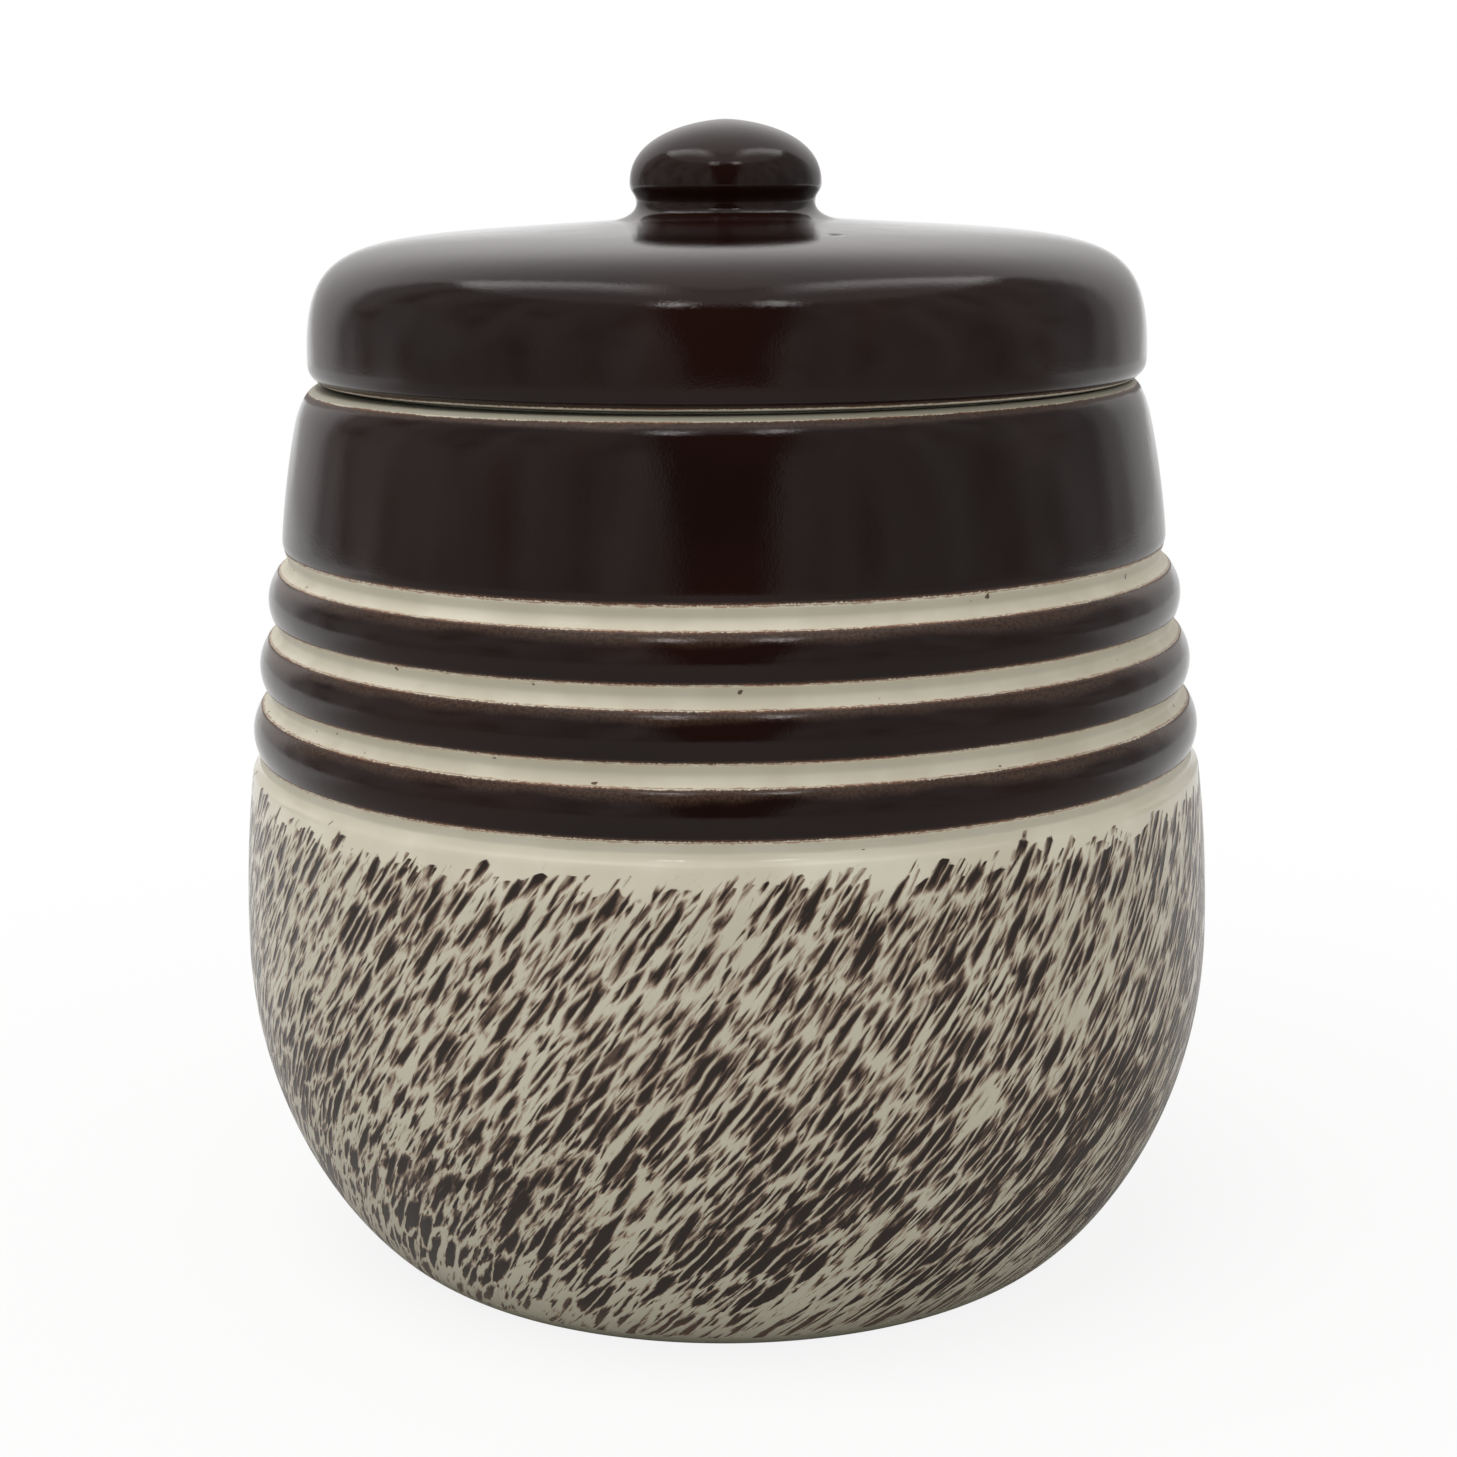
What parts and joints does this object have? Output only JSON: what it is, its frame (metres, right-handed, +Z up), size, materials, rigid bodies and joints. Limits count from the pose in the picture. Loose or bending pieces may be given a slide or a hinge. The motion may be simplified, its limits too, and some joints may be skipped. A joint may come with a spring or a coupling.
{
  "type": "jam pot",
  "caption": "Lidded ceramic jam pot: round belly with a streaked glaze, ribbed neck under a plain glazed collar, and a lift-off cushion-shaped lid with a knob.",
  "frame": {"origin": "centre of the foot's underside, on the surface that the pot stands on", "axes": "+Z up along the pot's axis of revolution; +X and +Y are any two level directions square to each other"},
  "size_m": [0.1008, 0.1008, 0.116],
  "materials": {
    "clay": "bare fired stoneware, matt and slightly gritty",
    "brown_glaze": "glossy, very dark brown",
    "streaked_glaze": "satin cream with slanting dark brown streaks",
    "lining_glaze": "glossy cream"
  },
  "bodies": {
    "pot": {"pot_body": "clay", "pot_lining": "lining_glaze", "belly_glaze": "streaked_glaze", "rib_glaze_low": "brown_glaze", "rib_glaze_mid": "brown_glaze", "rib_glaze_top": "brown_glaze", "collar_glaze": "brown_glaze"},
    "lid": {"lid_body": "clay", "lid_lining": "lining_glaze", "lid_knob": "clay", "lid_glaze": "brown_glaze"}
  },
  "joints": [
    {"name": "lid_lift", "type": "slide", "parent": "pot", "child": "lid", "axis": [0, 0, 1], "range_m": [0, 0.06]}
  ]
}
